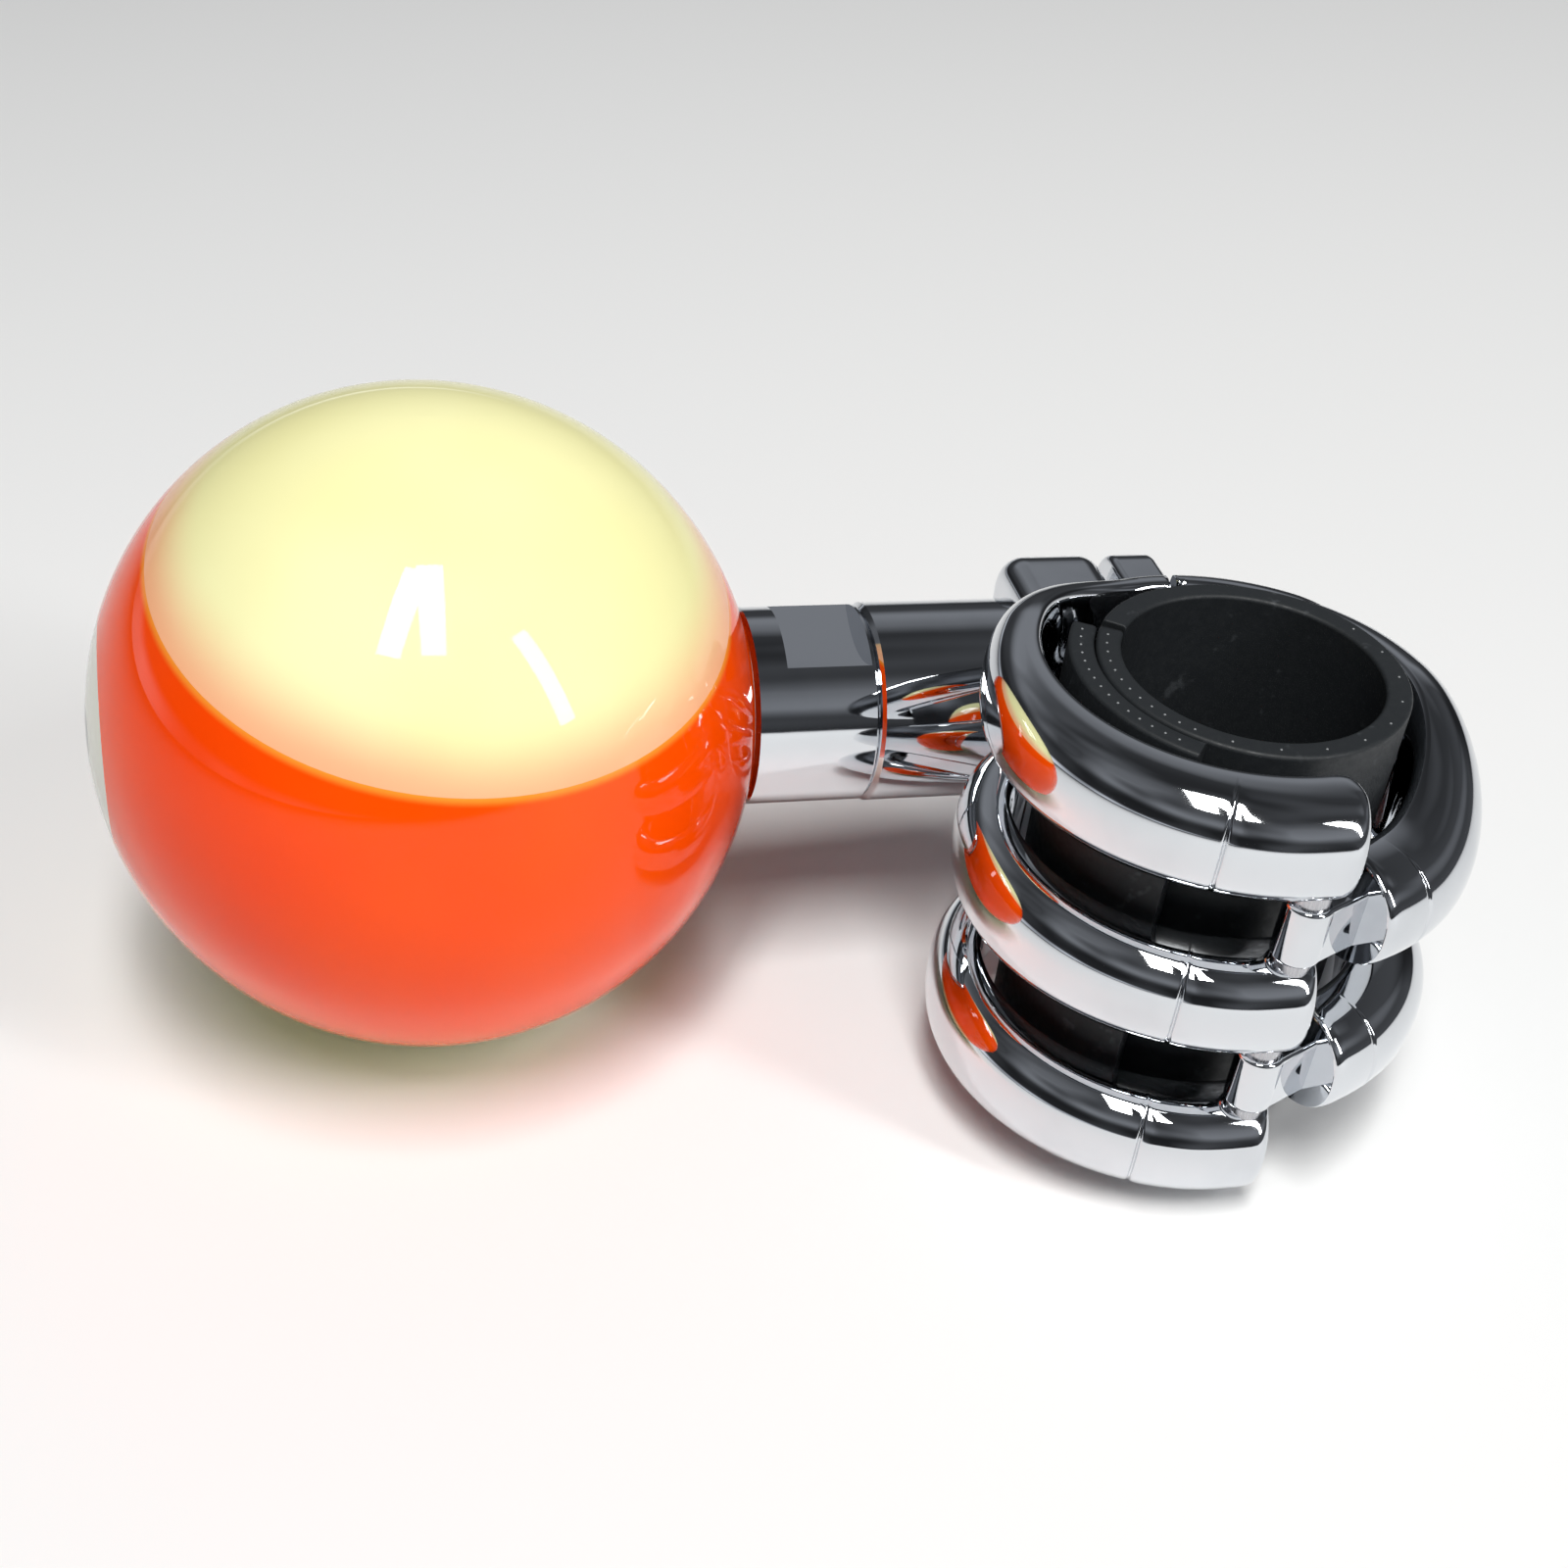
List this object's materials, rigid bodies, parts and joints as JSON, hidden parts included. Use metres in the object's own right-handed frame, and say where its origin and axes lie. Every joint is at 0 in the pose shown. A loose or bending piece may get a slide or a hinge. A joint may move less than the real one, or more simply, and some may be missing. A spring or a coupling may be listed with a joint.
{
  "type": "steering wheel spinner knob",
  "caption": "Striped pool ball on a bearing spindle, carried by a hinged finger-shaped clamp that grips a steering wheel rim.",
  "frame": {"origin": "centre of the rim clamp's bore, halfway up the rubber liner", "axes": "+Z along the wheel rim that the clamp grips, +X from the ball towards the clamp, +Y from the hinge towards the lugs"},
  "size_m": [0.1123, 0.075, 0.0572],
  "materials": {
    "ball_cream": "polished cast resin, cream",
    "ball_orange": "polished cast resin, orange",
    "ball_white": "polished cast resin, off-white",
    "ball_ink": "polished cast resin, black",
    "chrome": "bright chrome plate on zinc casting",
    "steel": "ground steel",
    "spring_steel": "dark spring steel",
    "brass": "turned brass",
    "nylon": "natural nylon",
    "rubber": "near-black rubber with a fine surface grain"
  },
  "bodies": {
    "knob": {"ball_core": "ball_cream", "stripe_band": "ball_orange", "number_disc": "ball_white", "number_digits": "ball_ink", "ball_insert": "brass", "thrust_washer": "nylon", "spindle": "steel", "front_inner_race": "steel", "rear_inner_race": "steel", "inner_spacer": "steel", "spindle_nut": "steel"},
    "front_beads": {"front_ball_cage": "brass", "front_balls": "steel"},
    "rear_beads": {"rear_ball_cage": "brass", "rear_balls": "steel"},
    "clamp": {"bearing_collar": "chrome", "front_outer_race": "steel", "rear_outer_race": "steel", "outer_spacer": "steel", "bearing_clip": "spring_steel", "stem": "chrome", "palm_jaw": "chrome", "hinge_pin": "steel", "pin_plug": "chrome", "liner_outer": "rubber", "liner_inner": "rubber"},
    "gate": {"gate_jaw": "chrome"},
    "screw": {"clamp_screw": "steel", "flat_washer": "steel", "spring_washer": "spring_steel"}
  },
  "joints": [
    {"name": "knob_spin", "type": "hinge", "parent": "clamp", "child": "knob", "pos_m": [-0.0626, 0.0253, 0], "axis": [1, 0, 0], "continuous": true},
    {"name": "front_bead_roll", "type": "hinge", "parent": "clamp", "child": "front_beads", "pos_m": [-0.032, 0.0253, 0], "axis": [1, 0, 0], "continuous": true},
    {"name": "rear_bead_roll", "type": "hinge", "parent": "clamp", "child": "rear_beads", "pos_m": [-0.026, 0.0253, 0], "axis": [1, 0, 0], "continuous": true},
    {"name": "gate_swing", "type": "hinge", "parent": "clamp", "child": "gate", "pos_m": [0, -0.01775, 0], "axis": [0, 0, -1], "range_deg": [0, 45]},
    {"name": "screw_travel", "type": "slide", "parent": "clamp", "child": "screw", "axis": [1, 0, 0], "range_m": [0, 0.045]}
  ],
  "couplings": [
    {"joint": "front_bead_roll", "follows": "knob_spin", "ratio": 0.3842},
    {"joint": "rear_bead_roll", "follows": "knob_spin", "ratio": 0.3842},
    {"joint": "screw_travel", "follows": "gate_swing", "m_per_rad": 0.053}
  ]
}
